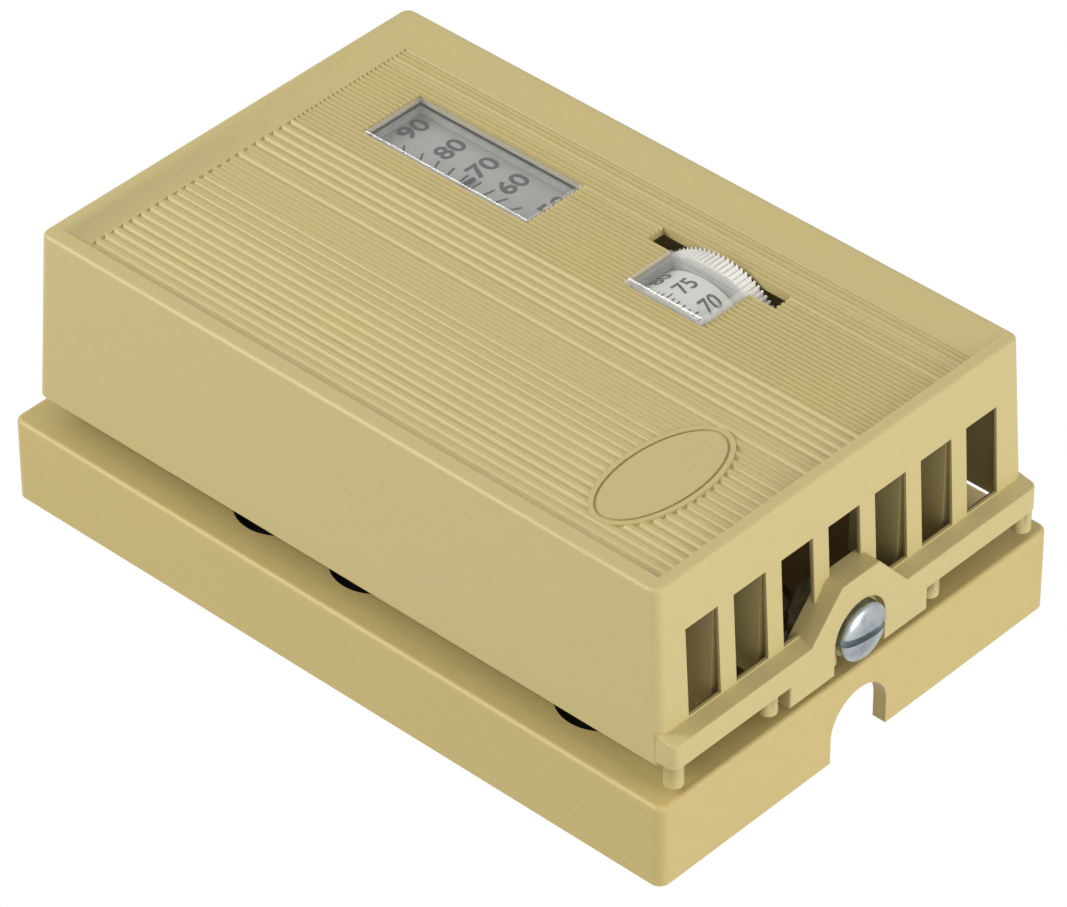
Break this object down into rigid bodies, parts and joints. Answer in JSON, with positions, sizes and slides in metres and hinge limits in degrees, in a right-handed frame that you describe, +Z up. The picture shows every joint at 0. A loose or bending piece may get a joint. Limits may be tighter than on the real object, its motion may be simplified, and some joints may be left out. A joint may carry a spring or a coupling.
{
  "type": "wall thermostat",
  "caption": "Low-voltage wall thermostat with a ribbed beige plastic cover, thermometer and setpoint windows, thumbwheel, louvered lower end and a hollow sub-base.",
  "frame": {"origin": "on the wall plane, halfway between the two wall screw holes of the sub-base, which is also the middle of its width and length", "axes": "+X right as seen by someone facing the thermostat, +Z up the wall, and the face looks out of the wall towards -Y; the louvered end is at -Z"},
  "size_m": [0.0778, 0.0454, 0.1207],
  "materials": {
    "housing": "satin beige moulded plastic with a fine grain",
    "rubber": "black rubber",
    "phenolic": "brown phenolic board",
    "zinc_steel": "zinc plated steel",
    "blued_steel": "blued steel screw",
    "clear_lens": "clear moulded plastic",
    "scale_aluminium": "satin silver scale with dark print",
    "brass": "plain brass",
    "bimetal": "bimetal strip",
    "pointer_black": "black enamel",
    "white_plastic": "off-white moulded plastic",
    "black_moulding": "glossy black moulding compound"
  },
  "bodies": {
    "base": {"sub_base": "housing", "wiring_plugs": "rubber", "chassis_plate": "phenolic", "chassis_screws": "zinc_steel", "hook_bracket": "zinc_steel", "hook_screws": "zinc_steel", "screw_bracket": "zinc_steel", "captive_nut": "zinc_steel", "wheel_bracket": "zinc_steel", "bracket_screws": "zinc_steel", "lever_pin": "zinc_steel", "switch_case": "black_moulding", "switch_screws": "zinc_steel", "terminal_block": "black_moulding", "terminal_clamps": "brass", "terminal_screws": "brass", "bus_strips": "brass"},
    "cover": {"cover_shell": "housing", "thermometer_lens": "clear_lens", "setpoint_lens": "clear_lens", "scale_plate": "scale_aluminium", "scale_screws": "zinc_steel", "arbor_bridge": "brass", "thermometer_coil": "bimetal"},
    "pointer": {"thermometer_pointer": "pointer_black", "pointer_arbor": "brass"},
    "setpoint": {"thumbwheel": "white_plastic", "setpoint_drum": "white_plastic", "setpoint_axle": "zinc_steel", "setpoint_cam": "white_plastic", "axle_clips": "zinc_steel"},
    "lever": {"follower_lever": "zinc_steel", "blade_rivets": "brass"},
    "blade": {"bimetal_blade": "bimetal"},
    "plunger": {"switch_plunger": "white_plastic"},
    "screw": {"cover_screw": "blued_steel"}
  },
  "joints": [
    {"name": "cover_swing", "type": "hinge", "parent": "base", "child": "cover", "pos_m": [0, -0.0134, 0.0576], "axis": [-1, 0, 0], "range_deg": [0, 60]},
    {"name": "pointer_turn", "type": "hinge", "parent": "cover", "child": "pointer", "pos_m": [-0.0008, -0.0413, 0.0244], "axis": [0, -1, 0], "range_deg": [-29, 36]},
    {"name": "setpoint_turn", "type": "hinge", "parent": "base", "child": "setpoint", "pos_m": [0.016, -0.0331, -0.0154], "axis": [1, 0, 0], "range_deg": [-118, 80]},
    {"name": "lever_rock", "type": "hinge", "parent": "base", "child": "lever", "pos_m": [0.0102, -0.0265, -0.031], "axis": [1, 0, 0], "range_deg": [-1.2, 1.75]},
    {"name": "blade_flex", "type": "hinge", "parent": "lever", "child": "blade", "pos_m": [-0.007, -0.0274, -0.0377], "axis": [1, 0, 0], "range_deg": [-1.5, 1.5], "stiffness_Nm_per_rad": 0.05},
    {"name": "plunger_press", "type": "slide", "parent": "base", "child": "plunger", "axis": [0, 1, 0], "range_m": [0, 0.0006], "stiffness_N_per_m": 60},
    {"name": "screw_turn", "type": "hinge", "parent": "base", "child": "screw", "pos_m": [0, -0.0194, -0.055], "axis": [0, 0, 1], "range_deg": [-720, 720]}
  ],
  "couplings": [
    {"joint": "lever_rock", "follows": "setpoint_turn", "ratio": -0.01469}
  ]
}
